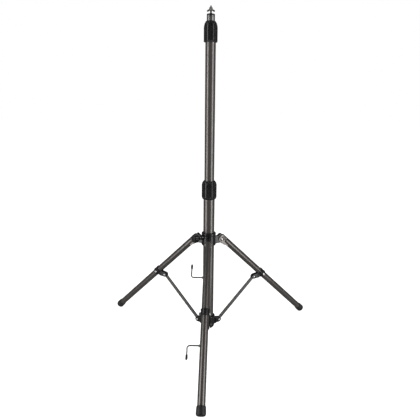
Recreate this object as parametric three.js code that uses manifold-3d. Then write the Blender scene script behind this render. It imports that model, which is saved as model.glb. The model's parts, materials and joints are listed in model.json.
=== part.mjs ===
// Telescopic tripod lighting stand with a clamp hub, three braced legs and two cord hooks.
// Millimetres, +Z up. The floor is z = 0 and the mast stands at y = MAST_Y, so that the origin
// is the middle of the stand's footprint.
import * as THREE from "three";
import { mergeVertices } from "three/addons/utils/BufferGeometryUtils.js";
import Module from "manifold-3d";

const wasm = await Module();
wasm.setup();

// ---- driving dimensions -------------------------------------------------------------------
const GAP = 0.3; // running gap between neighbouring pieces
const MAST_Y = 98.8; // mast axis, behind the middle of the footprint
const FINE = 20; // segments round a tube
const COARSE = 12; // segments round a rivet or a screw

const OUTER = { r: 17.5, bore: 16.3, bottom: 37, top: 519 };
const MIDDLE = { r: 15, bore: 13.8, bottom: 450, top: 972 };
const INNER = { r: 11.5, bore: 10.4, bottom: 500, top: 999.5 };

const LEG_ANGLE = THREE.MathUtils.degToRad(46.4); // from the vertical, legs open
const LEG_PIVOT = { r: 44, z: 338 };
const LEG_TUBE = { r: 10.75, bore: 9.55, offset: 7, top: 4, end: 480 };
const LEG_END = 488; // tip of the foot cap, from the pivot
const BRACKET = { middle: 219, length: 19, pinAlong: 203.5, pinOffset: -21, ear: 8 };

const LOWER_PIVOT = { r: 39, z: 52 };
const BAR = { thickness: 4, eye: 6.2, hole: 2.55 };
const CHEEK = { inner: BAR.thickness / 2 + GAP, outer: BAR.thickness / 2 + GAP + 4 };

const HUB = { r: 22.8, bore: OUTER.r + GAP, bottom: 325, top: 367 };
const KNOB = { z: 352, start: 33, end: 56, r: 13.6, screw: 3 };
const LOCK_RIBS = 16;

const FRONT = -Math.PI / 2;
const LEGS = [
  { name: "front", azimuth: FRONT },
  { name: "right", azimuth: FRONT + (2 * Math.PI) / 3 },
  { name: "left", azimuth: FRONT - (2 * Math.PI) / 3 },
];
const KNOB_AZIMUTH = FRONT - Math.PI / 3; // between the front leg and the left leg

// ---- materials ----------------------------------------------------------------------------
const paint = new THREE.MeshStandardMaterial({ color: 0x5b5654, roughness: 0.42, metalness: 0.6 });
const black = new THREE.MeshStandardMaterial({ color: 0x161616, roughness: 0.45, metalness: 0 });
const rubber = new THREE.MeshStandardMaterial({ color: 0x141414, roughness: 0.75, metalness: 0 });
const zinc = new THREE.MeshStandardMaterial({ color: 0xb9b9b6, roughness: 0.3, metalness: 1 });
const satin = new THREE.MeshStandardMaterial({ color: 0x8e8c8a, roughness: 0.3, metalness: 0.9 });

// ---- solids -------------------------------------------------------------------------------
// A closed geometry as a solid that faces out.
function solid(geometry) {
  const bare = geometry.clone();
  bare.deleteAttribute("normal");
  bare.deleteAttribute("uv");
  const merged = mergeVertices(bare, 1e-4);
  const triVerts = new Uint32Array(merged.index.array);
  const build = () =>
    new wasm.Manifold(
      new wasm.Mesh({ numProp: 3, vertProperties: merged.attributes.position.array, triVerts }),
    );
  const made = build();
  if (made.volume() > 0) return made;
  for (let i = 0; i < triVerts.length; i += 3) {
    [triVerts[i + 1], triVerts[i + 2]] = [triVerts[i + 2], triVerts[i + 1]];
  }
  return build();
}

function geometryOf(body) {
  const mesh = body.getMesh();
  const geometry = new THREE.BufferGeometry();
  geometry.setAttribute("position", new THREE.BufferAttribute(mesh.vertProperties, 3));
  geometry.setIndex(new THREE.BufferAttribute(mesh.triVerts, 1));
  geometry.computeVertexNormals();
  return geometry;
}

function piece(parent, name, body, material) {
  const mesh = new THREE.Mesh(geometryOf(body), material);
  mesh.name = name;
  parent.add(mesh);
  return mesh;
}

// A solid of revolution about Z from [radius, z] corners, closed on itself or through the axis.
function turned(corners, segments = FINE) {
  const profile = corners.map(([r, z]) => new THREE.Vector2(r, z));
  if (corners[0][0] > 0) profile.push(profile[0].clone());
  return solid(new THREE.LatheGeometry(profile, segments).rotateX(Math.PI / 2));
}

function tube(r, bore, bottom, top, segments = FINE) {
  return turned([[bore, bottom], [r, bottom], [r, top], [bore, top]], segments);
}

// A rod along Z.
function rod(r, bottom, top, segments = COARSE) {
  const height = top - bottom;
  const shape = new THREE.CylinderGeometry(r, r, height, segments).rotateX(Math.PI / 2);
  return solid(shape.translate(0, 0, (bottom + top) / 2));
}

// A rod along Y through (x, z).
function crossRod(r, from, to, x, z, segments = COARSE) {
  const shape = new THREE.CylinderGeometry(r, r, to - from, segments);
  return solid(shape.translate(x, (from + to) / 2, z));
}

// A shape drawn in the X-Z plane, made thick along Y from one side to the other.
function plate(shape, from, to) {
  const geometry = new THREE.ExtrudeGeometry(shape, {
    depth: to - from,
    bevelEnabled: false,
    curveSegments: 6,
  });
  return solid(geometry.rotateX(Math.PI / 2).translate(0, to, 0));
}

function block(x, y, z, width, depth, height) {
  return solid(new THREE.BoxGeometry(width, depth, height).translate(x, y, z));
}

// The outline of a band with round ends, from one centre to another.
function link(x0, z0, x1, z1, r0, r1 = r0) {
  const heading = Math.atan2(z1 - z0, x1 - x0);
  const lean = Math.acos((r0 - r1) / Math.hypot(x1 - x0, z1 - z0));
  const shape = new THREE.Shape();
  shape.absarc(x0, z0, r0, heading + lean, heading - lean + 2 * Math.PI, false);
  shape.absarc(x1, z1, r1, heading - lean, heading + lean, false);
  shape.closePath();
  return shape;
}

// A domed head whose flat side faces back along Y.
function head(r, height, y, side, x, z) {
  const points = [[0, 0], [r, 0], [r * 0.93, height * 0.45], [r * 0.6, height * 0.85], [0, height]];
  const profile = points.map(([radius, h]) => new THREE.Vector2(radius, h));
  const geometry = new THREE.LatheGeometry(profile, COARSE);
  if (side < 0) geometry.rotateX(Math.PI);
  return solid(geometry.translate(x, side * y, z));
}

// ---- placing ------------------------------------------------------------------------------
// A group whose +X points out from the mast at an azimuth and whose +Y is the hinge direction.
function spoke(parent, azimuth) {
  const group = new THREE.Group();
  group.rotation.z = azimuth;
  parent.add(group);
  return group;
}

// A group at (r, z) of a spoke whose -Z runs down and outwards at an angle from the vertical.
function arm(parent, r, z, angle) {
  const group = new THREE.Group();
  group.position.set(r, 0, z);
  group.rotation.y = -angle;
  parent.add(group);
  return group;
}

function turnedTo(body, azimuth) {
  return body.rotate([0, 0, THREE.MathUtils.radToDeg(azimuth)]);
}

// ---- twist locks --------------------------------------------------------------------------
// Fluted grip: round bars between shallow valleys, cut to a turned outline.
function fluted(crest, valley, bottom, top, ribs) {
  const shape = new THREE.Shape();
  const steps = ribs * 2;
  for (let i = 0; i < steps; i += 1) {
    const angle = (i / steps) * 2 * Math.PI;
    const wave = Math.abs(Math.cos((angle * ribs) / 2));
    const r = valley + (crest - valley) * Math.pow(wave, 0.6);
    if (i === 0) shape.moveTo(r * Math.cos(angle), r * Math.sin(angle));
    else shape.lineTo(r * Math.cos(angle), r * Math.sin(angle));
  }
  shape.closePath();
  const geometry = new THREE.ExtrudeGeometry(shape, { depth: top - bottom, bevelEnabled: false });
  return solid(geometry.translate(0, 0, bottom));
}

function lowerLock() {
  const outline = turned([
    [0, 475.5], [19.4, 475.5], [23.2, 483], [23.2, 520], [21.6, 526], [17.2, 533], [0, 533],
  ]);
  const bore = turned([
    [0, 473], [17.8, 473], [17.8, 518], [19.8, 519.4], [19.8, 525.4], [15.3, 526.5], [15.3, 535],
    [0, 535],
  ]);
  return fluted(23.2, 22.1, 474, 534, LOCK_RIBS).intersect(outline).subtract(bore);
}

function upperLock() {
  const outline = turned([
    [0, 930], [18.2, 930], [19.7, 932], [19.7, 969], [18.4, 977], [15.8, 983], [13, 986], [0, 986],
  ]);
  const bore = turned([
    [0, 928], [15.3, 928], [15.3, 971], [16.6, 972.4], [16.6, 977.4], [11.8, 978.5], [11.8, 988],
    [0, 988],
  ]);
  return fluted(19.7, 18.6, 929, 987, LOCK_RIBS).intersect(outline).subtract(bore);
}

// Split collets stand on each tube's mouth; the twist lock squeezes them on the next tube.
function lowerCollet() {
  return turned([
    [15.3, 483], [16, 483], [16, 519.3], [19.4, 519.3], [19, 525], [15.3, 525],
  ]);
}

function upperCollet() {
  return turned([
    [11.8, 940], [13.5, 940], [13.5, 972.3], [16.2, 972.3], [15.8, 977], [11.8, 977],
  ]);
}

// ---- hubs ---------------------------------------------------------------------------------
function upperHub() {
  let body = tube(HUB.r, HUB.bore, HUB.bottom, HUB.top);
  const tongue = { half: 5.5, eye: 11, nose: 5.5, hole: 3.05 };
  const { r, z } = LEG_PIVOT;
  for (const leg of LEGS) {
    const root = block(29, 0, z + 1, 18, 2 * tongue.half, 25);
    const eye = crossRod(tongue.eye, -tongue.half, tongue.half, r, z, FINE);
    const nose = plate(link(r - 10, z + 8, r - 2, z + 14.5, tongue.nose), -tongue.half, tongue.half);
    const hole = crossRod(tongue.hole, -9, 9, r, z);
    body = body.add(turnedTo(root.add(eye).add(nose).subtract(hole), leg.azimuth));
  }
  const lie = (shape) => turnedTo(shape.rotate([0, 90, 0]).translate([0, 0, KNOB.z]), KNOB_AZIMUTH);
  body = body.add(lie(rod(7.5, 20, 29)));
  body = body.subtract(rod(HUB.bore, HUB.bottom - 1, HUB.top + 1, FINE));
  return body.subtract(lie(rod(KNOB.screw + GAP, 10, 40)));
}

function lowerHub() {
  let body = turned([
    [0, 31], [12.5, 31], [17.5, 33.5], [21.2, 38], [HUB.r, 44], [HUB.r, 78], [0, 78],
  ]);
  const { r, z } = LOWER_PIVOT;
  for (const leg of LEGS) {
    const root = block(24.5, 0, z, 8, 2 * CHEEK.outer, 22);
    let lug = root;
    for (const side of [-1, 1]) {
      const near = side * CHEEK.inner;
      const far = side * CHEEK.outer;
      lug = lug.add(plate(link(24, z + 1, r, z, 10, 8.5), Math.min(near, far), Math.max(near, far)));
    }
    body = body.add(turnedTo(lug, leg.azimuth));
  }
  return body.subtract(rod(OUTER.r + GAP, OUTER.bottom - GAP, 84, FINE));
}

// ---- knob ---------------------------------------------------------------------------------
// Along +X, as the spoke that holds it points.
function clampKnob() {
  const outline = turned([
    [0, KNOB.start], [7, KNOB.start], [8, 38], [KNOB.r, 41], [KNOB.r, 53], [10.5, KNOB.end],
    [0, KNOB.end],
  ]);
  const lobes = fluted(KNOB.r, KNOB.r - 1.8, KNOB.start - 1, KNOB.end + 1, 8);
  const bore = rod(KNOB.screw + GAP, KNOB.start - 1, 43);
  return outline.intersect(lobes).subtract(bore).rotate([0, 90, 0]);
}

// ---- legs ---------------------------------------------------------------------------------
// The top of the tube is pressed flat on both sides and slotted on the inside, for the hub's tongue.
function legTube() {
  const { r, bore, offset, top, end } = LEG_TUBE;
  let body = tube(r, bore, -end, top).translate([offset, 0, 0]);
  const ears = new THREE.Shape();
  const [low, high, toe] = [offset - 15.5, offset + 7.5, 11];
  ears.moveTo(low + 6, -40);
  ears.lineTo(low, -18);
  ears.lineTo(low, toe - 8);
  ears.absarc(low + 8, toe - 8, 8, Math.PI, Math.PI / 2, true);
  ears.lineTo(high - 6, toe);
  ears.absarc(high - 6, toe - 6, 6, Math.PI / 2, 0, true);
  ears.lineTo(high, -40);
  ears.closePath();
  for (const side of [-1, 1]) {
    body = body.add(plate(ears, side * 7 - 1, side * 7 + 1));
    body = body.subtract(block(offset, side * 13, -2, 40, 10, 28));
  }
  body = body.subtract(block(-4, 0, 3, 12, 12, 34));
  body = body.subtract(crossRod(3.05, -12, 12, 0, 0));
  return body.subtract(crossRod(2.8, -15, 15, offset, -BRACKET.middle - 4));
}

// The cap is cut off square to the floor, where it has worn to a flat.
function footCap() {
  const { r, offset, end } = LEG_TUBE;
  let body = turned([
    [0, -LEG_END], [9.5, -LEG_END], [12.2, -LEG_END + 1.4], [13.2, -LEG_END + 4],
    [13, -LEG_END + 14], [12.2, -LEG_END + 25], [0, -LEG_END + 25],
  ]).translate([offset, 0, 0]);
  body = body.subtract(rod(r + GAP, -end - GAP, -end + 40, FINE).translate([offset, 0, 0]));
  const floor = new THREE.BoxGeometry(200, 200, 60).translate(350, 0, -LEG_PIVOT.z - 30);
  return body.subtract(solid(floor.rotateY(LEG_ANGLE)));
}

function legBracket() {
  const { middle, length, pinAlong, pinOffset, ear } = BRACKET;
  const { r, offset } = LEG_TUBE;
  const ring = rod(r + 2.1, -middle - length / 2, -middle + length / 2, FINE);
  const root = block(-14, 0, -middle + 4, 9, 2 * CHEEK.outer, 18).translate([offset, 0, 0]);
  let body = ring.translate([offset, 0, 0]).add(root);
  for (const side of [-1, 1]) {
    const shape = link(offset - 8, -middle + 4, pinOffset, -pinAlong, 9, ear);
    const [near, far] = [side * CHEEK.inner, side * CHEEK.outer];
    body = body.add(plate(shape, Math.min(near, far), Math.max(near, far)));
  }
  const bore = rod(r + GAP, -middle - length, -middle + length, FINE);
  body = body.subtract(bore.translate([offset, 0, 0]));
  body = body.subtract(crossRod(BAR.hole, -10, 10, pinOffset, -pinAlong));
  return body.subtract(crossRod(2.8, -20, 20, offset, -middle - 4));
}

// A dome at one end and a hexagon nut at the other.
function bracketBolt() {
  const [x, z] = [LEG_TUBE.offset, -BRACKET.middle - 4];
  const seat = LEG_TUBE.r + 2.1 + GAP;
  const shank = crossRod(2.5, -seat - 1, seat + 1, x, z);
  return shank.add(head(4.6, 3, seat, 1, x, z)).add(crossRod(4.8, -seat - 3.6, -seat, x, z, 6));
}

function rivet(shank, r, seat, x, z) {
  const body = crossRod(shank, -seat - 0.5, seat + 0.5, x, z);
  return body.add(head(r, 2.4, seat, 1, x, z)).add(head(r, 2.4, seat, -1, x, z));
}

// A flat bar with round ends and a hole for the rivet in each.
function braceBar(length) {
  const { thickness, eye, hole } = BAR;
  const bar = plate(link(0, 0, 0, -length, eye), -thickness / 2, thickness / 2);
  return bar.subtract(crossRod(hole, -5, 5, 0, 0)).subtract(crossRod(hole, -5, 5, 0, -length));
}

// ---- cord hooks ---------------------------------------------------------------------------
const HOOK = { wire: 2, reach: 45, tip: 3.2, tipLength: 15 };

// A wire out of the leg's side, bent to run along the leg. direction is +1 towards the hub.
function cordHook(along, run, bend, direction) {
  const { wire, reach } = HOOK;
  const x = LEG_TUBE.offset;
  const foot = -LEG_TUBE.r - GAP;
  const path = new THREE.CurvePath();
  const corner = new THREE.Vector3(x, -reach, -along);
  const before = new THREE.Vector3(x, -reach + bend, -along);
  const after = new THREE.Vector3(x, -reach, -along + direction * bend);
  const end = new THREE.Vector3(x, -reach, -along + direction * run);
  path.add(new THREE.LineCurve3(new THREE.Vector3(x, foot, -along), before));
  path.add(new THREE.QuadraticBezierCurve3(before, corner, after));
  path.add(new THREE.LineCurve3(after, end));
  const section = new THREE.Shape().absarc(0, 0, wire, 0, 2 * Math.PI);
  const options = { steps: 12, extrudePath: path, curveSegments: 4, bevelEnabled: false };
  const rodBody = solid(new THREE.ExtrudeGeometry(section, options));
  return rodBody.add(crossRod(3.6, foot - 3, foot, x, -along, 12));
}

function hookTip(along, run, direction) {
  const { wire, reach, tip, tipLength } = HOOK;
  const inside = run - tipLength + 4;
  const corners = [
    [wire + GAP, inside - 3], [2.7, inside - 3], [tip, inside + 3], [tip, inside + tipLength - 6],
    [2, inside + tipLength - 4], [0, inside + tipLength - 3], [0, run + GAP], [wire + GAP, run + GAP],
  ];
  let body = turned(corners, 16);
  if (direction < 0) body = body.rotate([180, 0, 0]);
  return body.translate([LEG_TUBE.offset, -reach, -along]);
}

// ---- top ----------------------------------------------------------------------------------
function topPlug() {
  return turned([
    [3.3, 986], [10.1, 986], [10.1, 999.8], [11.5, 999.8], [11.5, 1003.2], [10.8, 1004],
    [3.3, 1004],
  ]);
}

function topStud() {
  return turned([
    [0, 981], [6, 981], [6, 985.7], [3, 985.7], [3, 1022.5], [0.8, 1026.4], [0, 1026.4],
  ], COARSE);
}

// A cone with two small wings low on its sides.
function wingNut() {
  let body = turned([[3.3, 1012.5], [5.8, 1012.5], [6, 1014], [4.4, 1021], [3.3, 1021]], COARSE);
  for (const side of [-1, 1]) {
    const wing = link(side * 4.2, 1014.6, side * 9, 1011.6, 2, 2.4);
    body = body.add(plate(wing, -1.1, 1.1));
  }
  return body.subtract(rod(3.3, 1005, 1024));
}

// ---- assembly -----------------------------------------------------------------------------
const stand = new THREE.Group();
const mast = new THREE.Group();
mast.position.y = MAST_Y;
stand.add(mast);

function buildMast() {
  piece(mast, "outer_tube", tube(OUTER.r, OUTER.bore, OUTER.bottom, OUTER.top), paint);
  piece(mast, "lower_collet", lowerCollet(), black);
  piece(mast, "lower_twist_lock", lowerLock(), black);
  piece(mast, "middle_tube", tube(MIDDLE.r, MIDDLE.bore, MIDDLE.bottom, MIDDLE.top), paint);
  piece(mast, "middle_glide", tube(16, 8, 438, MIDDLE.bottom - GAP), black);
  piece(mast, "upper_collet", upperCollet(), black);
  piece(mast, "upper_twist_lock", upperLock(), black);
  piece(mast, "inner_tube", tube(INNER.r, INNER.bore, INNER.bottom, INNER.top), satin);
  piece(mast, "inner_glide", tube(13.4, 6, 490, INNER.bottom - GAP), black);
  piece(mast, "lower_hub", lowerHub(), black);
  const back = spoke(mast, FRONT + Math.PI);
  const screw = head(4.2, 2.6, 0, 1, 0, 0).rotate([0, 0, -90]);
  piece(back, "lower_hub_screw", screw.translate([HUB.r + GAP, 0, 70]), zinc);
}

function buildTop() {
  piece(mast, "top_plug", topPlug(), black);
  piece(mast, "top_stud", topStud(), zinc);
  piece(mast, "wing_nut", wingNut(), zinc);
  const front = spoke(mast, FRONT);
  const pin = head(2.4, 1.6, 0, 1, 0, 0).rotate([0, 0, -90]);
  piece(front, "plug_rivet", pin.translate([INNER.r + GAP, 0, 996.8]), zinc);
}

function buildUpperHub() {
  piece(mast, "upper_hub", upperHub(), black);
  const side = spoke(mast, KNOB_AZIMUTH);
  side.position.z = KNOB.z;
  piece(side, "clamp_knob", clampKnob(), black);
  piece(side, "knob_screw", rod(KNOB.screw, 18.3, 42.5).rotate([0, 90, 0]), zinc);
}

function buildLeg(leg) {
  const side = spoke(mast, leg.azimuth);
  const limb = arm(side, LEG_PIVOT.r, LEG_PIVOT.z, LEG_ANGLE);
  piece(limb, `leg_tube_${leg.name}`, legTube(), paint);
  piece(limb, `foot_cap_${leg.name}`, footCap(), rubber);
  piece(limb, `leg_bracket_${leg.name}`, legBracket(), black);
  piece(limb, `bracket_bolt_${leg.name}`, bracketBolt(), zinc);
  const pin = rivet(2.4, 4.2, CHEEK.outer + GAP, BRACKET.pinOffset, -BRACKET.pinAlong);
  piece(limb, `brace_rivet_${leg.name}`, pin, zinc);
  piece(side, `leg_rivet_${leg.name}`, rivet(2.9, 5, 8 + GAP, LEG_PIVOT.r, LEG_PIVOT.z), zinc);
  const joint = new THREE.Vector3(BRACKET.pinOffset, 0, -BRACKET.pinAlong);
  joint.applyAxisAngle(new THREE.Vector3(0, 1, 0), -LEG_ANGLE);
  joint.add(new THREE.Vector3(LEG_PIVOT.r, 0, LEG_PIVOT.z));
  const across = joint.x - LOWER_PIVOT.r;
  const down = joint.z - LOWER_PIVOT.z;
  const brace = arm(side, joint.x, joint.z, -Math.atan2(across, down));
  piece(brace, `brace_bar_${leg.name}`, braceBar(Math.hypot(across, down)), paint);
  for (const [mark, way] of [["a", 1], ["b", -1]]) {
    const cap = head(4.2, 2.4, CHEEK.outer + GAP, way, LOWER_PIVOT.r, LOWER_PIVOT.z);
    piece(side, `lower_rivet_${leg.name}_${mark}`, cap, zinc);
  }
  return limb;
}

function buildHooks(limb) {
  piece(limb, "cord_hook_upper", cordHook(112, 41, 6, 1), satin);
  piece(limb, "hook_tip_upper", hookTip(112, 41, 1), black);
  piece(limb, "cord_hook_lower", cordHook(312, 38, 8, -1), satin);
  piece(limb, "hook_tip_lower", hookTip(312, 38, -1), black);
}

buildMast();
buildTop();
buildUpperHub();
const limbs = LEGS.map(buildLeg);
buildHooks(limbs[0]);

export default stand;
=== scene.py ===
"""Telescopic tripod lighting stand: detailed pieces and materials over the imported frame."""
import json
from math import acos, atan2, cos, hypot, pi, radians, sin

import bmesh
import bpy
from mathutils import Matrix, Vector


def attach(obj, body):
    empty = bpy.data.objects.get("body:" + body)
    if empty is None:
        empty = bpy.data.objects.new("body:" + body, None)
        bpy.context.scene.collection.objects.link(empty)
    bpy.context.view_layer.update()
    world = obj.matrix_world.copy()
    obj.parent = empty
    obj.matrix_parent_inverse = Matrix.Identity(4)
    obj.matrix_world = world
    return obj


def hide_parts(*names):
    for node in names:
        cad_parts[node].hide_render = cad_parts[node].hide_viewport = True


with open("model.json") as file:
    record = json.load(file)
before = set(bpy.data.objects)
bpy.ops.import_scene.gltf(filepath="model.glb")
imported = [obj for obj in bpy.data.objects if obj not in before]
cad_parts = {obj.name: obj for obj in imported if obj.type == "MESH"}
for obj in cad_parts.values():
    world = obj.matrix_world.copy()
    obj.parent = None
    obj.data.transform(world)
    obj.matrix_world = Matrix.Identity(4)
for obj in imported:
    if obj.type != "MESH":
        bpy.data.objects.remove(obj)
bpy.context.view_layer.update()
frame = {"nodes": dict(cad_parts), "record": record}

# ---- driving dimensions, in millimetres ------------------------------------------------------
MM = 0.001
GAP = 0.3
MAST_Y = 98.8
OUTER_TUBE = {"r": 17.5, "bore": 16.3, "bottom": 37, "top": 519}
MIDDLE_TUBE = {"r": 15, "bore": 13.8, "bottom": 450, "top": 972}
INNER_TUBE = {"r": 11.5, "bore": 10.4, "bottom": 500, "top": 999.5}
HUB_BORE = OUTER_TUBE["r"] + GAP
HUB_R = 22.8
HUB_WAIST = 21.6
LEG_ANGLE = radians(46.4)
LEG_PIVOT = (44.0, 338.0)
LOWER_PIVOT = (39.0, 52.0)
TUBE_OFFSET = 7.0
LEG_R = 10.75
LEG_BORE = 9.55
LEG_END = -480
BRACKET_Z = -219.0
BRACKET_R = LEG_R + 2.1
BRACE_PIN = (-21.0, -203.5)
BRACE_HALF_WIDTH = 6.2
BRACE_HALF_DEPTH = 2
CHEEK_IN = 2.3
CHEEK_OUT = 6.3
KNOB_Z = 352.0
SCREW_R = 2.98
HOOK_REACH = 45.0
HOOK_WIRE = 2
FRONT = -pi / 2
LEGS = {"front": FRONT, "right": FRONT + 2 * pi / 3, "left": FRONT - 2 * pi / 3}
KNOB_AZIMUTH = FRONT - pi / 3


# ---- materials -------------------------------------------------------------------------------
def material(name, base, roughness, metallic=0.0, **sockets):
    made = bpy.data.materials.new(name)
    made.use_nodes = True
    shader = made.node_tree.nodes["Principled BSDF"]
    shader.inputs["Base Color"].default_value = (*base, 1)
    shader.inputs["Roughness"].default_value = roughness
    shader.inputs["Metallic"].default_value = metallic
    for socket, value in sockets.items():
        shader.inputs[socket.replace("_", " ")].default_value = value
    return made


def noise(made, scale, detail=3.0, stretch=(1, 1, 1)):
    nodes, links = made.node_tree.nodes, made.node_tree.links
    place = nodes.new("ShaderNodeTexCoord")
    mapping = nodes.new("ShaderNodeMapping")
    mapping.inputs["Scale"].default_value = stretch
    texture = nodes.new("ShaderNodeTexNoise")
    texture.inputs["Scale"].default_value = scale
    texture.inputs["Detail"].default_value = detail
    links.new(place.outputs["Object"], mapping.inputs["Vector"])
    links.new(mapping.outputs["Vector"], texture.inputs["Vector"])
    return texture.outputs["Fac"]


def tint(made, source, low, high, start=0.3, end=0.7):
    """Varies the base colour between two tones along a pattern."""
    nodes, links = made.node_tree.nodes, made.node_tree.links
    ramp = nodes.new("ShaderNodeValToRGB")
    ramp.color_ramp.elements[0].position = start
    ramp.color_ramp.elements[1].position = end
    ramp.color_ramp.elements[0].color = (*low, 1)
    ramp.color_ramp.elements[1].color = (*high, 1)
    links.new(source, ramp.inputs["Fac"])
    links.new(ramp.outputs["Color"], nodes["Principled BSDF"].inputs["Base Color"])


def gloss(made, source, low, high):
    """Varies the roughness between two values along a pattern."""
    nodes, links = made.node_tree.nodes, made.node_tree.links
    span = nodes.new("ShaderNodeMapRange")
    span.inputs["To Min"].default_value = low
    span.inputs["To Max"].default_value = high
    links.new(source, span.inputs["Value"])
    links.new(span.outputs["Result"], nodes["Principled BSDF"].inputs["Roughness"])


def bump(made, source, strength, distance):
    nodes, links = made.node_tree.nodes, made.node_tree.links
    relief = nodes.new("ShaderNodeBump")
    relief.inputs["Strength"].default_value = strength
    relief.inputs["Distance"].default_value = distance
    links.new(source, relief.inputs["Height"])
    links.new(relief.outputs["Normal"], nodes["Principled BSDF"].inputs["Normal"])


def tube_paint():
    """Graphite paint with a fine metal grain, a little warm."""
    made = material("graphite_paint", (0.1, 0.093, 0.088), 0.3, 0.8, Coat_Weight=0.1, Coat_Roughness=0.25)
    grain = noise(made, 1500, 2)
    tint(made, grain, (0.105, 0.097, 0.092), (0.135, 0.125, 0.118), 0.35, 0.68)
    gloss(made, noise(made, 45, 4), 0.26, 0.34)
    bump(made, grain, 0.06, 0.0001)
    return made


def brace_paint():
    """The duller, darker paint of the stamped braces."""
    made = material("brace_paint", (0.075, 0.073, 0.07), 0.42, 0.6)
    grain = noise(made, 1100, 2)
    tint(made, grain, (0.066, 0.064, 0.061), (0.09, 0.087, 0.083), 0.35, 0.68)
    gloss(made, noise(made, 60, 4), 0.42, 0.52)
    bump(made, grain, 0.08, 0.0001)
    return made


def black_nylon():
    """Moulded black nylon with a faint spark-eroded texture."""
    made = material("black_nylon", (0.006, 0.006, 0.0064), 0.27, Specular_IOR_Level=0.42)
    grain = noise(made, 900, 3)
    tint(made, noise(made, 60, 3), (0.004, 0.004, 0.0043), (0.008, 0.008, 0.0085))
    gloss(made, grain, 0.2, 0.31)
    bump(made, grain, 0.15, 0.0001)
    return made


def foot_rubber():
    made = material("foot_rubber", (0.009, 0.009, 0.009), 0.5, Specular_IOR_Level=0.35)
    grain = noise(made, 420, 5)
    tint(made, noise(made, 150, 4), (0.004, 0.004, 0.004), (0.02, 0.0195, 0.019))
    gloss(made, grain, 0.36, 0.6)
    bump(made, grain, 0.6, 0.0004)
    return made


def zinc(name, dark, light, low, high):
    """Zinc plating with a faint blotchy crystal pattern."""
    made = material(name, light, high, 1.0)
    blotch = noise(made, 260, 4)
    tint(made, blotch, dark, light)
    gloss(made, blotch, low, high)
    bump(made, noise(made, 1200, 2), 0.08, 0.0001)
    return made


def drawn_steel():
    """The bare inner tube: drawn along its length, with fine lines."""
    made = material("drawn_steel", (0.2, 0.197, 0.195), 0.4, 1.0)
    lines = noise(made, 700, 2, (1, 1, 0.02))
    tint(made, lines, (0.15, 0.147, 0.145), (0.24, 0.237, 0.234))
    gloss(made, lines, 0.36, 0.48)
    bump(made, lines, 0.1, 0.00005)
    return made


def hook_wire():
    made = material("plated_wire", (0.2, 0.195, 0.19), 0.33, 0.9)
    grain = noise(made, 420, 3)
    tint(made, grain, (0.14, 0.136, 0.13), (0.27, 0.262, 0.255))
    gloss(made, grain, 0.25, 0.42)
    return made


def blackened():
    made = material("blackened_rivet", (0.03, 0.03, 0.03), 0.4, 0.6)
    tint(made, noise(made, 400, 3), (0.02, 0.02, 0.02), (0.06, 0.06, 0.06))
    return made


PAINT = tube_paint()
BRACE_PAINT = brace_paint()
NYLON = black_nylon()
RUBBER = foot_rubber()
ZINC = zinc("bright_zinc", (0.5, 0.5, 0.48), (0.72, 0.72, 0.72), 0.25, 0.4)
DULL_ZINC = zinc("dull_zinc", (0.15, 0.15, 0.148), (0.26, 0.26, 0.255), 0.38, 0.5)
STEEL = drawn_steel()
WIRE = hook_wire()
BLACKENED = blackened()
SLOTS = {
    "tube_paint": PAINT,
    "black_plastic": NYLON,
    "foot_rubber": RUBBER,
    "zinc_fastener": ZINC,
    "bare_tube": STEEL,
    "hook_wire": WIRE,
    "dark_fastener": BLACKENED,
}


# ---- shapes: lists of corners and faces, in millimetres ---------------------------------------
def fillet(profile, radius, steps=4):
    """Rounds the corners of a profile; corners on the axis stay."""
    closed = profile[0][0] > 0
    count = len(profile)
    made = []
    for i, (x, y) in enumerate(profile):
        if x < 1e-6 or (not closed and i in (0, count - 1)):
            made.append((x, y))
            continue
        here = Vector((x, y))
        before = Vector(profile[i - 1]) - here
        after = Vector(profile[(i + 1) % count]) - here
        cut = min(radius, before.length * 0.45, after.length * 0.45)
        start = here + before.normalized() * cut
        end = here + after.normalized() * cut
        for k in range(steps + 1):
            t = k / steps
            point = start * (1 - t) ** 2 + here * 2 * t * (1 - t) + end * t ** 2
            made.append((point.x, point.y))
    return made


def revolve(profile, segments=64, wave=None):
    """A turned solid about Z. wave(angle, r, z) gives the radius where it isn't round."""
    verts, rings = [], []
    for r, z in profile:
        if r < 1e-6:
            rings.append([len(verts)] * segments)
            verts.append((0, 0, z))
            continue
        rings.append(list(range(len(verts), len(verts) + segments)))
        for k in range(segments):
            angle = 2 * pi * k / segments
            radius = wave(angle, r, z) if wave else r
            verts.append((radius * cos(angle), radius * sin(angle), z))
    if profile[0][0] > 0:
        rings.append(rings[0])
    faces = []
    for low, high in zip(rings, rings[1:]):
        for k in range(segments):
            n = (k + 1) % segments
            corners = [low[k], low[n], high[n], high[k]]
            unique = list(dict.fromkeys(corners))
            if len(unique) > 2:
                faces.append(unique)
    return verts, faces


def rod(r, bottom, top, edge=0.3, segments=32):
    return revolve(fillet([(0, bottom), (r, bottom), (r, top), (0, top)], edge), segments)


def pipe(r, bore, bottom, top, edge=0.35, segments=96):
    return revolve(fillet([(bore, bottom), (r, bottom), (r, top), (bore, top)], edge), segments)


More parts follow.
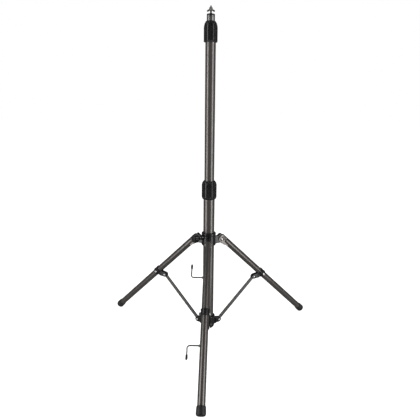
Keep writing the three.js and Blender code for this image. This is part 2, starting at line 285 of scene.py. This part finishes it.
def slab(outline, near, far, inset=0.8, steps=3):
    """An outline in X-Z made thick along Y, with its edges rounded."""
    near, far = min(near, far), max(near, far)
    count = len(outline)
    area = sum(a[0] * b[1] - b[0] * a[1] for a, b in zip(outline, outline[1:] + outline[:1]))
    way = 1 if area > 0 else -1
    normals = []
    for i in range(count):
        before = Vector(outline[i]) - Vector(outline[i - 1])
        after = Vector(outline[(i + 1) % count]) - Vector(outline[i])
        side = before.normalized() + after.normalized()
        normals.append(Vector((side.y, -side.x)).normalized() * way)
    inset = min(inset, (far - near) * 0.4)
    turns = [pi / 2 * k / steps for k in range(steps + 1)]
    levels = [(near + inset * (1 - cos(turn)), inset * (1 - sin(turn))) for turn in turns]
    levels += [(far - (y - near), cut) for y, cut in reversed(levels)]
    verts = []
    for y, cut in levels:
        for (x, z), normal in zip(outline, normals):
            verts.append((x - normal.x * cut, y, z - normal.y * cut))
    faces = []
    for level in range(len(levels) - 1):
        for k in range(count):
            n = (k + 1) % count
            low = level * count
            faces.append([low + k, low + n, low + count + n, low + count + k])
    faces.append(list(range(count)))
    faces.append(list(range(len(verts) - count, len(verts))))
    return verts, faces


def arc(x, z, r, start, end, steps=12):
    turns = [start + (end - start) * k / steps for k in range(steps + 1)]
    return [(x + r * cos(turn), z + r * sin(turn)) for turn in turns]


def link(x0, z0, x1, z1, r0, r1):
    """A band with round ends from one centre to another."""
    heading = atan2(z1 - z0, x1 - x0)
    lean = acos((r0 - r1) / hypot(x1 - x0, z1 - z0))
    return (arc(x0, z0, r0, heading + lean, heading - lean + 2 * pi)
            + arc(x1, z1, r1, heading - lean, heading + lean))


def round_box(x, z, width, height, corner):
    w, h = width / 2 - corner, height / 2 - corner
    made = []
    for k, (sx, sz) in enumerate([(1, 1), (-1, 1), (-1, -1), (1, -1)]):
        made += arc(x + sx * w, z + sz * h, corner, k * pi / 2, (k + 1) * pi / 2, 5)
    return made


def sweep(path, r, segments=20):
    """A round wire along a path in the plane of Y and Z, with closed ends."""
    verts, faces = [], []
    count = len(path)
    for i, point in enumerate(path):
        before = path[max(i - 1, 0)]
        after = path[min(i + 1, count - 1)]
        forward = (Vector(after) - Vector(before)).normalized()
        side = Vector((1, 0, 0)).cross(forward)
        for k in range(segments):
            angle = 2 * pi * k / segments
            verts.append(tuple(Vector(point) + r * (cos(angle) * Vector((1, 0, 0)) + sin(angle) * side)))
    for i in range(count - 1):
        for k in range(segments):
            n = (k + 1) % segments
            low = i * segments
            faces.append([low + k, low + n, low + segments + n, low + segments + k])
    faces.append(list(range(segments)))
    faces.append(list(range(len(verts) - segments, len(verts))))
    return verts, faces


def moved(shape, matrix):
    verts, faces = shape
    return [tuple(matrix @ Vector(v)) for v in verts], faces


def along_y(shape, x, z, side=1):
    """A turned shape laid along Y through (x, z), its top to +Y or, with side -1, to -Y."""
    return moved(shape, Matrix.Translation((x, 0, z)) @ Matrix.Rotation(-side * pi / 2, 4, "X"))


def along_x(shape):
    return moved(shape, Matrix.Rotation(pi / 2, 4, "Y"))


def dome(r, height, seat):
    """A rivet head standing on a seat, its flat side down."""
    rim = 0.25
    crown = [(r * cos(a), seat + rim + (height - rim) * sin(a)) for a in (0.3, 0.6, 0.9, 1.2, 1.4)]
    return revolve([(0, seat), (r * 0.96, seat), (r, seat + rim)] + crown + [(0, seat + height)], 32)


# ---- pieces ----------------------------------------------------------------------------------
MAST = Matrix.Translation((0, MAST_Y, 0))


def spoke(azimuth):
    return MAST @ Matrix.Rotation(azimuth, 4, "Z")


def arm(azimuth, r, z, angle):
    return spoke(azimuth) @ Matrix.Translation((r, 0, z)) @ Matrix.Rotation(-angle, 4, "Y")


def piece(name, shapes, place, body, slot, nodes=(), finish=None):
    """Joins shapes into one object, puts it in place and hands it to its body."""
    verts, faces = [], []
    for shape_verts, shape_faces in shapes:
        start = len(verts)
        verts += [tuple(MM * c for c in place @ Vector(v)) for v in shape_verts]
        faces += [[start + i for i in face] for face in shape_faces]
    mesh = bpy.data.meshes.new(name)
    mesh.from_pydata(verts, [], faces)
    mesh.validate()
    obj = bpy.data.objects.new(name, mesh)
    bpy.context.scene.collection.objects.link(obj)
    tidy_normals(mesh)
    obj.data.materials.append(finish or SLOTS[slot])
    for polygon in mesh.polygons:
        polygon.use_smooth = True
    soften = obj.modifiers.new("even_shading", "WEIGHTED_NORMAL")
    soften.keep_sharp = True
    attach(obj, body)
    if nodes:
        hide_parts(*nodes)
    return obj


def tidy_normals(mesh):
    """Faces out, and sharp where two faces meet at a steep corner."""
    work = bmesh.new()
    work.from_mesh(mesh)
    bmesh.ops.recalc_face_normals(work, faces=work.faces)
    for edge in work.edges:
        if len(edge.link_faces) == 2 and edge.calc_face_angle(0) > radians(50):
            edge.smooth = False
    work.to_mesh(mesh)
    work.free()


# ---- mast ------------------------------------------------------------------------------------
def ribs(count, depth, low, high, fade):
    """Vertical valleys round a grip, fading out at both ends.

    Only rings of up to 16 mm radius stay round, so the wide parts of the bore get the valleys too.
    """
    land = 0.15
    stays_round = 16

    def wave(angle, r, z):
        valley = (max(0.0, -cos(angle * count) - land) / (1 - land)) ** 0.6
        window = min(1.0, max(0.0, (z - low) / fade), max(0.0, (high - z) / fade))
        return r - depth * valley * window if r > stays_round else r
    return wave


def stations(profile, spacing=3.0):
    """Adds rings along the long sides of a profile, so that a wave can shape them."""
    made = []
    count = len(profile)
    for i in range(count):
        made.append(profile[i])
        if i == count - 1:
            break
        (r0, z0), (r1, z1) = profile[i], profile[i + 1]
        steps = int(abs(z1 - z0) / spacing)
        for k in range(1, steps):
            t = k / steps
            made.append((r0 + (r1 - r0) * t, z0 + (z1 - z0) * t))
    return made


def build_mast():
    for name, size, body, slot in (
        ("outer", OUTER_TUBE, "mast", "tube_paint"),
        ("middle", MIDDLE_TUBE, "middle_mast", "tube_paint"),
        ("inner", INNER_TUBE, "inner_mast", "bare_tube"),
    ):
        piece(f"{name}_tube_shell", [pipe(**size)], MAST, body, slot, [f"{name}_tube"])
    build_twist_locks()


def build_twist_locks():
    """Two ribbed grips, each open below for its tube and closing round the next one."""
    lower = [(17.8, 475.5), (20.4, 475.5), (23.1, 481.5), (23.1, 521), (21.4, 527.5), (17.4, 533),
             (15.3, 533), (15.3, 526.5), (19.8, 525.4), (19.8, 519.4), (17.8, 518)]
    grip = revolve(stations(fillet(lower, 1.1)), 192, ribs(16, 2.4, 479, 530, 4))
    piece("lower_twist_grip", [grip], MAST, "lower_lock", "black_plastic", ["lower_twist_lock"])
    upper = [(15.3, 930), (18.4, 930), (19.6, 931.6), (19.6, 967), (19.1, 972.5), (17.6, 978.5),
             (15.2, 983), (13.2, 985.6), (11.8, 986), (11.8, 978.5), (16.6, 977.4), (16.6, 972.4),
             (15.3, 971)]
    grip = revolve(stations(fillet(upper, 0.9)), 192, ribs(16, 2.2, 930, 984, 5))
    piece("upper_twist_grip", [grip], MAST, "upper_lock", "black_plastic", ["upper_twist_lock"])


def threads(bottom, top):
    """The side of a screw: rings that rise and fall with the pitch, without a helix."""
    pitch, depth, r = 1.0, 0.42, SCREW_R
    made = []
    count = int((top - bottom) / pitch)
    for k in range(count):
        z = bottom + k * pitch
        made += [(r - depth, z), (r, z + pitch * 0.4), (r, z + pitch * 0.55)]
    return made


def build_top():
    plug = [(3.3, 986), (10.1, 986), (10.1, 999.8), (11.5, 999.8), (11.5, 1003.2), (10.8, 1004),
            (3.3, 1004)]
    cap = revolve(fillet(plug, 0.5), 64)
    piece("top_plug_cap", [cap], MAST, "inner_mast", "black_plastic", ["top_plug"])
    shank = [(0, 981), (6, 981), (6, 985.7), (2.95, 985.7), (2.95, 1004)]
    tip = [(2.6, 1022.4), (0.9, 1026.1), (0, 1026.4)]
    stud = revolve(shank + threads(1004.6, 1022) + tip, 32)
    piece("top_stud_thread", [stud], MAST, "inner_mast", "zinc_fastener", ["top_stud"], DULL_ZINC)
    nut = [(3.3, 1012.5), (5.8, 1012.5), (5.9, 1014), (4.3, 1021), (3.3, 1021)]
    shapes = [revolve(fillet(nut, 0.5), 40)]
    for side in (-1, 1):
        wing = link(side * 9, 1011.6, side * 4.2, 1014.6, 2.4, 2)
        shapes.append(slab(wing, -1.1, 1.1, 0.8))
    piece("wing_nut_cast", shapes, MAST, "top_wing_nut", "zinc_fastener", ["wing_nut"], DULL_ZINC)
    rivet = moved(along_x(dome(2.4, 1.5, 11.75)), Matrix.Translation((0, 0, 996.8)))
    piece("plug_rivet_head", [rivet], spoke(FRONT), "inner_mast", "dark_fastener", ["plug_rivet"])


# ---- hubs ------------------------------------------------------------------------------------
def build_upper_hub():
    sleeve = [(HUB_BORE, 325), (21, 325), (HUB_R, 327.5), (HUB_R, 332), (HUB_WAIST, 334),
              (HUB_WAIST, 358), (HUB_R, 360), (HUB_R, 364.5), (21, 367), (HUB_BORE, 367)]
    shapes = [moved(revolve(fillet(sleeve, 0.8), 96), MAST)]
    r, z = LEG_PIVOT
    for azimuth in LEGS.values():
        here = spoke(azimuth)
        for shape in (
            slab(round_box(29, z + 1, 20, 25, 2), -5.5, 5.5, 1),
            slab(arc(r, z, 11, 0, 2 * pi, 40)[:-1], -5.5, 5.5, 1.2),
            slab(link(r - 10, z + 8, r - 2, z + 14.5, 5.5, 5.5), -5.5, 5.5, 1.4),
        ):
            shapes.append(moved(shape, here))
    boss = along_x(revolve(fillet([(3.3, 20), (7.5, 20), (7.5, 28.2), (6.8, 29), (3.3, 29)], 0.6), 48))
    shapes.append(moved(boss, spoke(KNOB_AZIMUTH) @ Matrix.Translation((0, 0, KNOB_Z))))
    piece("upper_hub_body", shapes, Matrix.Identity(4), "leg_hub", "black_plastic", ["upper_hub"])
    for name, azimuth in LEGS.items():
        heads = [along_y(rod(2.9, -8.4, 8.4), r, z)]
        heads += [along_y(dome(5, 2.4, 8.3), r, z, side) for side in (1, -1)]
        piece(f"leg_rivet_heads_{name}", heads, spoke(azimuth), "leg_hub", "zinc_fastener",
              [f"leg_rivet_{name}"])


def build_knob():
    def lobes(angle, radius, z):
        return radius - 1.6 * max(0.0, cos(angle * 7)) ** 2 if radius > 9.5 else radius

    outline = [(3.3, 33), (7, 33), (7.8, 37.5), (12.6, 40), (13.5, 42), (13.5, 52), (12, 55),
               (9.2, 56), (4, 55), (0, 54.8), (0, 43), (3.3, 43)]
    knob = along_x(revolve(stations(fillet(outline, 0.9), 1.5), 168, lobes))
    place = spoke(KNOB_AZIMUTH) @ Matrix.Translation((0, 0, KNOB_Z))
    piece("clamp_knob_grip", [knob], place, "hub_knob", "black_plastic", ["clamp_knob"])
    shank = [(0, 18.3), (2.4, 18.3)] + threads(18.8, 32) + [(SCREW_R, 33), (SCREW_R, 42.5), (0, 42.5)]
    piece("knob_screw_thread", [along_x(revolve(shank, 32))], place, "hub_knob", "zinc_fastener",
          ["knob_screw"])


def build_lower_hub():
    cup = [(0, 31), (8, 31.3), (13, 32.6), (17.6, 35.2), (20.6, 39), (22, 44), (HUB_R, 46),
           (HUB_R, 50), (HUB_WAIST, 52), (HUB_WAIST, 71), (HUB_R, 73), (HUB_R, 76.4), (21.2, 78),
           (HUB_BORE, 78), (HUB_BORE, 36.7), (0, 36.7)]
    shapes = [moved(revolve(fillet(cup, 0.9), 96), MAST)]
    r, z = LOWER_PIVOT
    for azimuth in LEGS.values():
        here = spoke(azimuth)
        root = slab(round_box(24.5, z, 8, 22, 1.5), -CHEEK_OUT, CHEEK_OUT, 0.8)
        shapes.append(moved(root, here))
        for side in (-1, 1):
            outline = link(28.6, z + 1, r, z, 10, 8.5)
            shapes.append(moved(slab(outline, side * CHEEK_IN, side * CHEEK_OUT, 0.9), here))
    piece("lower_hub_body", shapes, Matrix.Identity(4), "mast", "black_plastic", ["lower_hub"])
    for name, azimuth in LEGS.items():
        for mark, side in (("a", 1), ("b", -1)):
            cap = along_y(dome(4.2, 2.4, CHEEK_OUT + GAP), r, z, side)
            piece(f"lower_rivet_head_{name}_{mark}", [cap], spoke(azimuth), "mast", "zinc_fastener",
                  [f"lower_rivet_{name}_{mark}"])
    screw = moved(along_x(dome(4.2, 2.6, HUB_R + GAP)), Matrix.Translation((0, 0, 70)))
    piece("lower_hub_screw_head", [screw], spoke(FRONT + pi), "mast", "zinc_fastener",
          ["lower_hub_screw"])


# ---- legs ------------------------------------------------------------------------------------
def shift(shape, x=0.0, z=0.0):
    return moved(shape, Matrix.Translation((x, 0, z)))


def leg_tube():
    """A round tube whose top is pressed flat and slotted on the inside for the hub's tongue."""
    tube = shift(pipe(LEG_R, LEG_BORE, LEG_END, -15), TUBE_OFFSET)
    open_at = pi - 0.68
    outside = [(x, max(-8.0, min(8.0, y))) for x, y in arc(TUBE_OFFSET, 0, LEG_R, -open_at, open_at, 40)]
    inside = [(x, max(-6.6, min(6.6, y))) for x, y in arc(TUBE_OFFSET, 0, 9.4, open_at, -open_at, 40)]
    upright = Matrix.Rotation(pi / 2, 4, "X")
    crown = moved(slab(outside + inside, -16, 4, 0.5), upright)
    low, high, toe = TUBE_OFFSET - 15.5, TUBE_OFFSET + 7.5, 11
    ears = [(high, -34), (low + 6, -34), (low, -18)]
    ears += arc(low + 8, toe - 8, 8, pi, pi / 2, 8) + arc(high - 6, toe - 6, 6, pi / 2, 0, 8)
    return [tube, crown] + [slab(ears, side * 6, side * 8, 0.7) for side in (-1, 1)]


def foot_cap():
    """A flared cap, cut level with the floor along its lower edge."""
    bore = LEG_R + GAP
    outline = [(0, -488), (7.6, -488), (11.2, -486.8), (12.9, -484.2), (13.1, -481), (13, -474),
               (12.5, -466), (12.2, -463.6), (11.6, -463), (bore, -463), (bore, LEG_END - GAP),
               (0, LEG_END - GAP)]
    verts, faces = shift(revolve(stations(fillet(outline, 0.6), 2.0), 96), TUBE_OFFSET)
    floor = -LEG_PIVOT[1]
    level = []
    for x, y, z in verts:
        height = x * sin(LEG_ANGLE) + z * cos(LEG_ANGLE)
        rise = max(0.0, floor + 0.05 - height)
        level.append((x + rise * sin(LEG_ANGLE), y, z + rise * cos(LEG_ANGLE)))
    return [(level, faces)]


def leg_bracket():
    """A collar round the leg with two rims, a boss for its bolt and two cheeks for the brace."""
    bore, low, high = LEG_R + GAP, BRACKET_Z - 9.5, BRACKET_Z + 9.5
    outline = [(bore, low), (BRACKET_R, low), (BRACKET_R, high), (bore, high)]
    shapes = [shift(revolve(fillet(outline, 0.7), 96), TUBE_OFFSET)]
    root = round_box(TUBE_OFFSET - 15, BRACKET_Z + 4, 7, 18, 1.5)
    shapes.append(slab(root, -CHEEK_OUT, CHEEK_OUT, 0.8))
    for z in (BRACKET_Z - 8, BRACKET_Z + 8):
        band = [(12.4, z - 1.5), (13.4, z - 1.5), (13.4, z + 1.5), (12.4, z + 1.5)]
        shapes.append(shift(revolve(fillet(band, 0.5), 96), TUBE_OFFSET))
    x, z = BRACE_PIN
    for side in (-1, 1):
        cheek = link(TUBE_OFFSET - 14.5, BRACKET_Z + 4, x, z, 9, 8)
        shapes.append(slab(cheek, side * CHEEK_IN, side * CHEEK_OUT, 0.9))
        boss = round_box(TUBE_OFFSET, BRACKET_Z - 4, 11, 11, 4)
        shapes.append(slab(boss, side * 9.5, side * 12.95, 0.8))
    return shapes


def bracket_bolt():
    """A bolt through the collar: a domed head on one side and a hexagon nut on the other."""
    x, z = TUBE_OFFSET, BRACKET_Z - 4
    seat = BRACKET_R + GAP
    outline = [(0, seat), (4.5, seat), (4.8, seat + 0.4), (4.8, seat + 3.1), (4.4, seat + 3.5),
               (2.6, seat + 3.6), (2.4, seat + 5), (0, seat + 5.2)]
    nut = along_y(revolve(outline, 6), x, z, -1)
    return [along_y(dome(4.6, 3, seat), x, z), nut, along_y(rod(2.4, -seat - 1, seat + 1), x, z)]


def brace(length):
    """A flat bar with round ends and rounded edges."""
    r, depth = BRACE_HALF_WIDTH, BRACE_HALF_DEPTH
    outline = arc(0, 0, r, 0, pi, 24) + arc(0, -length, r, pi, 2 * pi, 24)
    return [slab(outline, -depth, depth, 1.4)]


def hook(along, run, bend, way):
    """A wire out of the leg's side, bent to run along the leg, and its moulded tip."""
    x = TUBE_OFFSET
    foot = -LEG_R - GAP
    path = [(x, foot, -along), (x, (foot - HOOK_REACH + bend) / 2, -along)]
    for k in range(13):
        turn = pi / 2 * k / 12
        y = -HOOK_REACH + bend - bend * sin(turn)
        path.append((x, y, -along + way * bend * (1 - cos(turn))))
    path.append((x, -HOOK_REACH, -along + way * run))
    collar = moved(revolve(fillet([(0, 0), (3.6, 0), (3.6, 2.8), (0, 2.8)], 0.6), 32),
                   Matrix.Translation((x, foot, -along)) @ Matrix.Rotation(pi / 2, 4, "X"))
    bore = HOOK_WIRE + GAP
    outline = [(bore, run - 13.5), (2.8, run - 13.5), (3.2, run - 8), (3.2, run - 4),
               (2.8, run - 0.8), (1.5, run + 0.7), (0, run + 0.95), (0, run + GAP), (bore, run + GAP)]
    tip = revolve(fillet(outline, 0.3), 32)
    flip = Matrix.Rotation(0 if way > 0 else pi, 4, "X")
    tip = moved(tip, Matrix.Translation((x, -HOOK_REACH, -along)) @ flip)
    return [sweep(path, HOOK_WIRE), collar], [tip]


def build_leg(name, azimuth):
    body = f"{name}_leg"
    limb = arm(azimuth, *LEG_PIVOT, LEG_ANGLE)
    x, z = BRACE_PIN
    pin = [along_y(rod(2.4, -7, 7), x, z)]
    pin += [along_y(dome(4.2, 2.4, CHEEK_OUT + GAP), x, z, side) for side in (1, -1)]
    for title, shapes, slot, node in (
        ("leg_tube_shell", leg_tube(), "tube_paint", "leg_tube"),
        ("foot_cap_rubber", foot_cap(), "foot_rubber", "foot_cap"),
        ("leg_bracket_body", leg_bracket(), "black_plastic", "leg_bracket"),
        ("bracket_bolt_set", bracket_bolt(), "zinc_fastener", "bracket_bolt"),
        ("brace_rivet_heads", pin, "zinc_fastener", "brace_rivet"),
    ):
        piece(f"{title}_{name}", shapes, limb, body, slot, [f"{node}_{name}"])
    joint = Matrix.Rotation(-LEG_ANGLE, 3, "Y") @ Vector((x, 0, z))
    joint += Vector((LEG_PIVOT[0], 0, LEG_PIVOT[1]))
    across, down = joint.x - LOWER_PIVOT[0], joint.z - LOWER_PIVOT[1]
    strut = arm(azimuth, joint.x, joint.z, -atan2(across, down))
    shapes = brace(hypot(across, down))
    piece(f"brace_strut_{name}", shapes, strut, f"{name}_brace", "tube_paint",
          [f"brace_bar_{name}"], BRACE_PAINT)
    return limb


def build_hooks(limb):
    for mark, along, run, bend, way in (("upper", 112, 41, 6, 1), ("lower", 312, 38, 8, -1)):
        wire, tip = hook(along, run, bend, way)
        piece(f"hook_wire_{mark}", wire, limb, "front_leg", "hook_wire", [f"cord_hook_{mark}"])
        piece(f"hook_sleeve_{mark}", tip, limb, "front_leg", "black_plastic", [f"hook_tip_{mark}"])


# ---- stage -----------------------------------------------------------------------------------
def build_stage():
    mesh = bpy.data.meshes.new("floor")
    half = 14
    corners = [(-half, -half, 0), (half, -half, 0), (half, half, 0), (-half, half, 0)]
    mesh.from_pydata(corners, [], [(0, 1, 2, 3)])
    floor = bpy.data.objects.new("floor", mesh)
    bpy.context.scene.collection.objects.link(floor)
    mesh.materials.append(material("white_floor", (0.9, 0.9, 0.9), 0.9,
                                   Emission_Color=(1, 1, 1, 1), Emission_Strength=0.9))
    floor.visible_glossy = False
    floor.visible_shadow = False
    bpy.context.scene.world = studio()
    bpy.context.scene.view_settings.view_transform = "Standard"


def studio():
    """White behind the stand, and a dim grey room for everything that it reflects."""
    world = bpy.data.worlds.new("studio")
    world.use_nodes = True
    nodes, links = world.node_tree.nodes, world.node_tree.links
    room = nodes["Background"]
    room.inputs["Color"].default_value = (1, 1, 1, 1)
    room.inputs["Strength"].default_value = 0.17
    backdrop = nodes.new("ShaderNodeBackground")
    backdrop.inputs["Color"].default_value = (1, 1, 1, 1)
    backdrop.inputs["Strength"].default_value = 1.0
    seen = nodes.new("ShaderNodeLightPath")
    either = nodes.new("ShaderNodeMixShader")
    links.new(seen.outputs["Is Camera Ray"], either.inputs["Fac"])
    links.new(room.outputs["Background"], either.inputs[1])
    links.new(backdrop.outputs["Background"], either.inputs[2])
    links.new(either.outputs["Shader"], nodes["World Output"].inputs["Surface"])
    return world


def softbox(name, place, target, size, power):
    light = bpy.data.lights.new(name, "AREA")
    light.shape = "RECTANGLE"
    light.size, light.size_y = size
    light.energy = power
    obj = bpy.data.objects.new(name, light)
    obj.location = place
    obj.rotation_euler = (Vector(target) - Vector(place)).to_track_quat("-Z", "Y").to_euler()
    bpy.context.scene.collection.objects.link(obj)


def build_lights():
    softbox("left_softbox", (-2.1, -1.1, 0.95), (0, 0, 0.95), (0.9, 3.5), 46)
    softbox("right_softbox", (2.1, -1.1, 0.95), (0, 0, 0.95), (0.9, 3.5), 46)
    softbox("top_softbox", (0, 1.2, 3.2), (0, 0, 0.3), (2.4, 1.2), 8)


def build_camera():
    """Stands where the object was seen from: in front, above the hub, tilted down."""
    lens = bpy.data.cameras.new("camera")
    lens.sensor_width = 36
    lens.lens = 37.03
    lens.shift_x = -0.0228
    lens.shift_y = 0.0221
    lens.clip_start = 0.01
    camera = bpy.data.objects.new("camera", lens)
    yaw, pitch, roll = radians(-0.72), radians(15.37), radians(0.96)
    forward = Vector((sin(yaw) * cos(pitch), cos(yaw) * cos(pitch), -sin(pitch)))
    right = Vector((cos(yaw), -sin(yaw), 0))
    up = right.cross(forward)
    side = right * cos(roll) + up * sin(roll)
    top = up * cos(roll) - right * sin(roll)
    turn = Matrix((side, top, -forward)).transposed()
    camera.matrix_world = Matrix.Translation((0.0503, -1.216, 0.7713)) @ turn.to_4x4()
    bpy.context.scene.collection.objects.link(camera)
    bpy.context.scene.camera = camera


def paint_frame():
    """Gives every CAD node that still shows its material."""
    for entry in frame["record"]["subparts"]:
        node = frame["nodes"][entry["node"]]
        node.data.materials.clear()
        node.data.materials.append(SLOTS[entry["material_slot"]])


build_camera()
build_stage()
build_lights()
paint_frame()
build_mast()
build_top()
build_upper_hub()
build_knob()
build_lower_hub()
limbs = {name: build_leg(name, azimuth) for name, azimuth in LEGS.items()}
build_hooks(limbs["front"])
